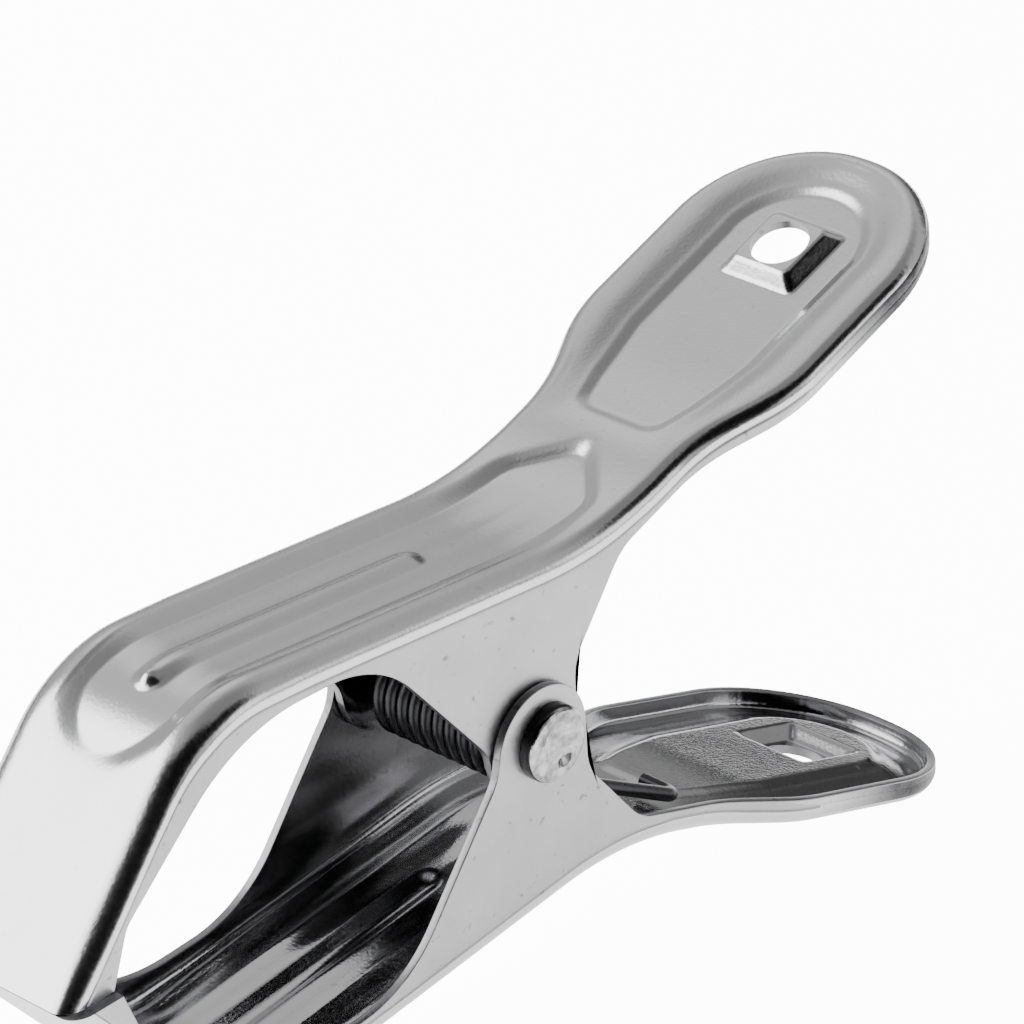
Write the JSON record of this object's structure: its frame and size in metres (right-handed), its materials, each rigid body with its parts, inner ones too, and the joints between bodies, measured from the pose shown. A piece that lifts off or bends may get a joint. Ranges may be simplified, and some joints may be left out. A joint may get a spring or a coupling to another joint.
{
  "type": "bag clip",
  "caption": "Stamped stainless steel bag clip with pierced arched jaws on a rivet, a coiled closing spring and flared handles with hanging holes.",
  "frame": {"origin": "on the rivet's axis, midway between the side walls", "axes": "+X from the rivet to the handles, +Y along the rivet's axis, +Z from the meeting plane of the lips towards the upper jaw"},
  "size_m": [0.123, 0.0286, 0.0674],
  "materials": {
    "jaw_steel": "bright stamped stainless sheet, polished faces and satin side walls",
    "rivet_steel": "polished head with a soft dimple",
    "spring_steel": "blackened spring wire, satin"
  },
  "bodies": {
    "lower": {"lower_jaw": "jaw_steel", "pivot_rivet": "rivet_steel", "torsion_spring": "spring_steel"},
    "upper": {"upper_jaw": "jaw_steel"}
  },
  "joints": [
    {"name": "jaw_pivot", "type": "hinge", "parent": "lower", "child": "upper", "pos_m": [0, 0, 0], "axis": [0, 1, 0], "range_deg": [0, 44], "stiffness_Nm_per_rad": 0.8, "springref_deg": -42.97, "deforming": ["torsion_spring"]}
  ]
}
